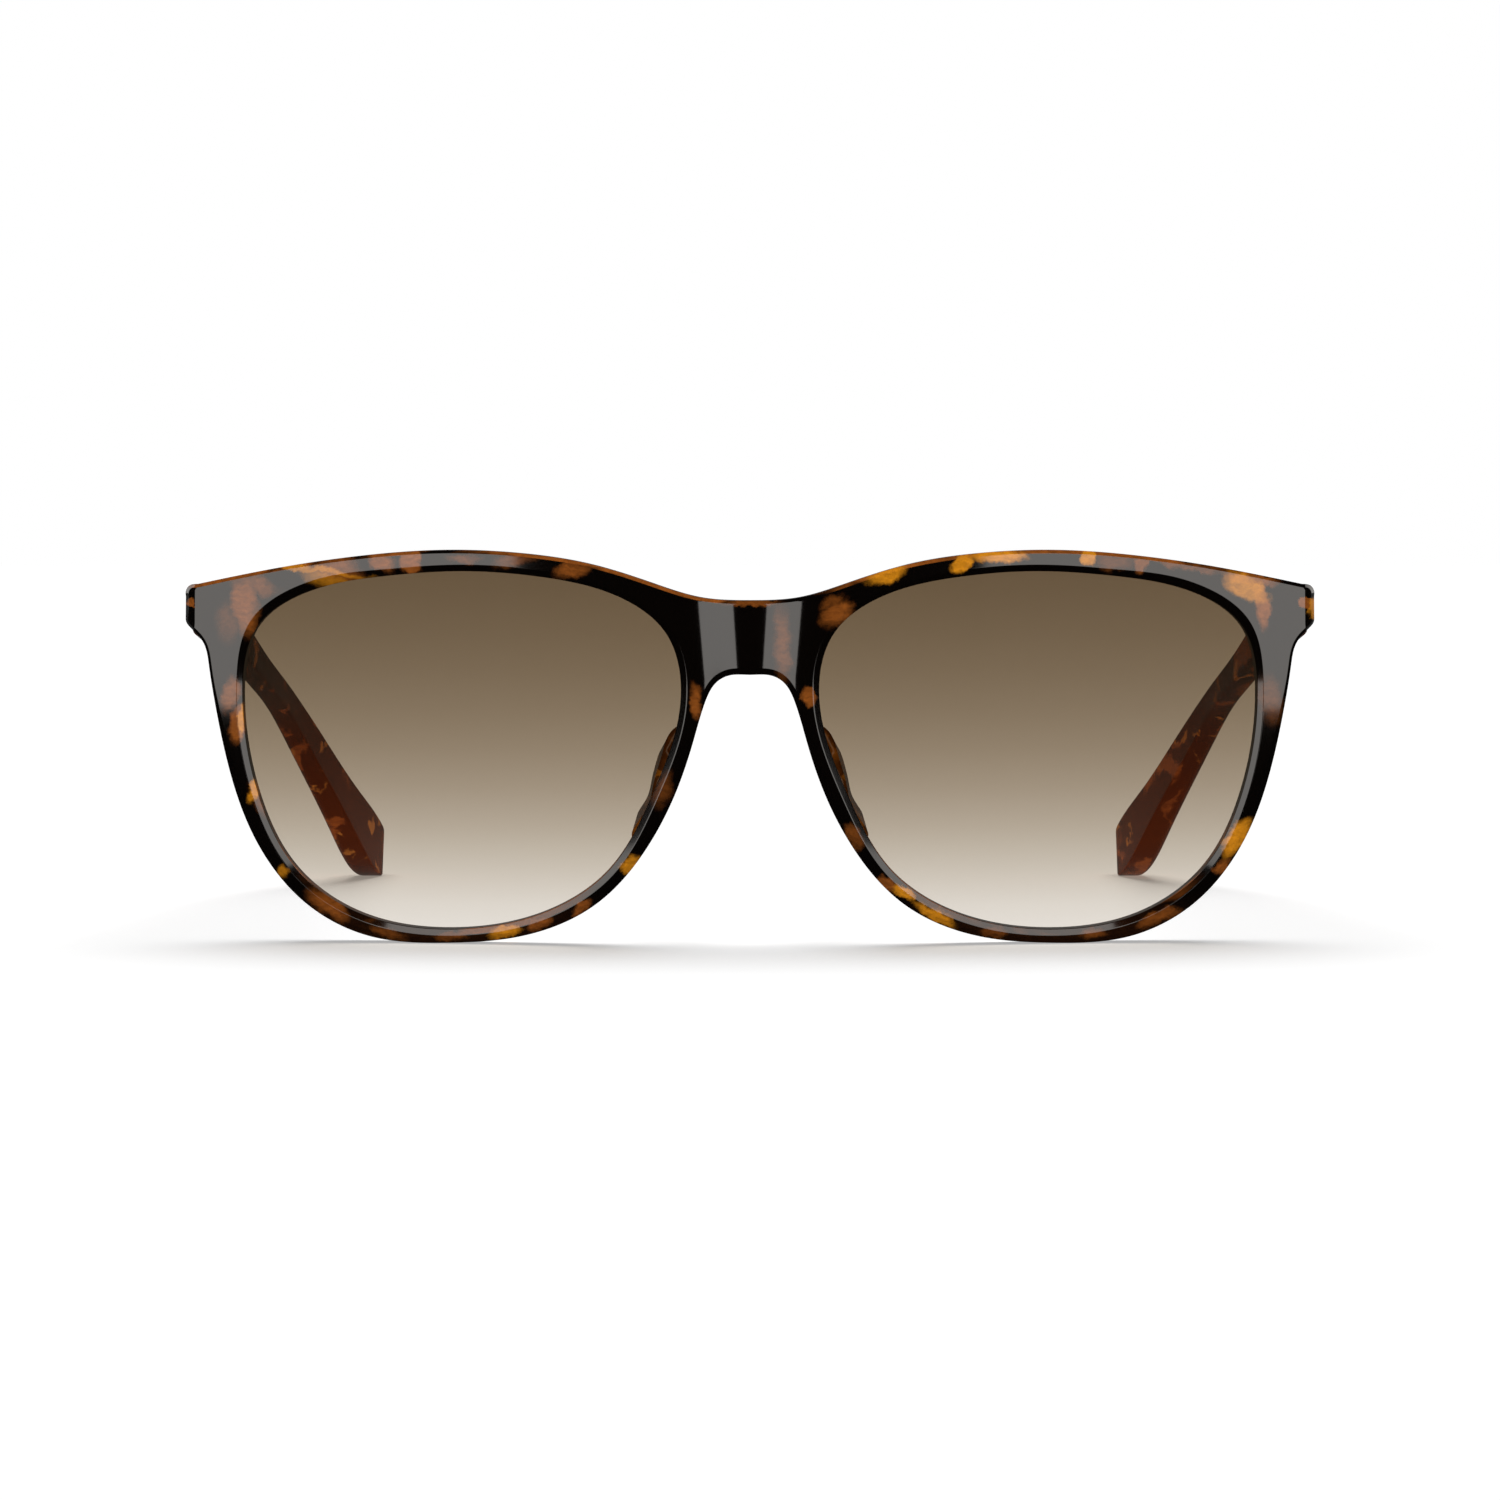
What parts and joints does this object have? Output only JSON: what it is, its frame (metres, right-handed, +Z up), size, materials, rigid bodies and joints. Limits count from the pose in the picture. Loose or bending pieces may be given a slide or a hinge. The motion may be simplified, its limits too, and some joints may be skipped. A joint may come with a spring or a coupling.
{
  "type": "sunglasses",
  "caption": "Tortoiseshell cat eye sunglasses with gradient brown lenses and folding temples on screw hinges.",
  "frame": {"origin": "centre of the bounding box, on the surface that the rims and temple tips rest on", "axes": "+X to the wearer's left, +Y from the lenses back to the temple tips, +Z up"},
  "size_m": [0.1462, 0.1439, 0.0503],
  "materials": {
    "tortoiseshell": "polished dark tortoiseshell acetate with amber patches",
    "gradient_lens": "brown gradient lens, darker at the top",
    "hinge_metal": "satin nickel silver",
    "screw_metal": "bright turned steel",
    "nylon": "natural nylon",
    "core_wire": "drawn wire"
  },
  "bodies": {
    "front_assembly": {"front_frame": "tortoiseshell", "nose_pad_left": "tortoiseshell", "nose_pad_right": "tortoiseshell", "lens_left": "gradient_lens", "lens_right": "gradient_lens", "front_hinge_leaf_left": "hinge_metal", "front_hinge_leaf_right": "hinge_metal", "hinge_pivot_screw_left": "screw_metal", "hinge_pivot_screw_right": "screw_metal", "front_leaf_screws_left": "screw_metal", "front_leaf_screws_right": "screw_metal", "hinge_washers_left": "nylon", "hinge_washers_right": "nylon"},
    "left_temple": {"temple_left": "tortoiseshell", "temple_hinge_leaf_left": "hinge_metal", "temple_leaf_screws_left": "screw_metal", "temple_core_left": "core_wire"},
    "right_temple": {"temple_right": "tortoiseshell", "temple_hinge_leaf_right": "hinge_metal", "temple_leaf_screws_right": "screw_metal", "temple_core_right": "core_wire"}
  },
  "joints": [
    {"name": "left_hinge", "type": "hinge", "parent": "front_assembly", "child": "left_temple", "pos_m": [0.0666, -0.05382, 0.0422], "axis": [0, 0, 1], "range_deg": [0, 85]},
    {"name": "right_hinge", "type": "hinge", "parent": "front_assembly", "child": "right_temple", "pos_m": [-0.0666, -0.05382, 0.0422], "axis": [0, 0, -1], "range_deg": [0, 81]}
  ]
}
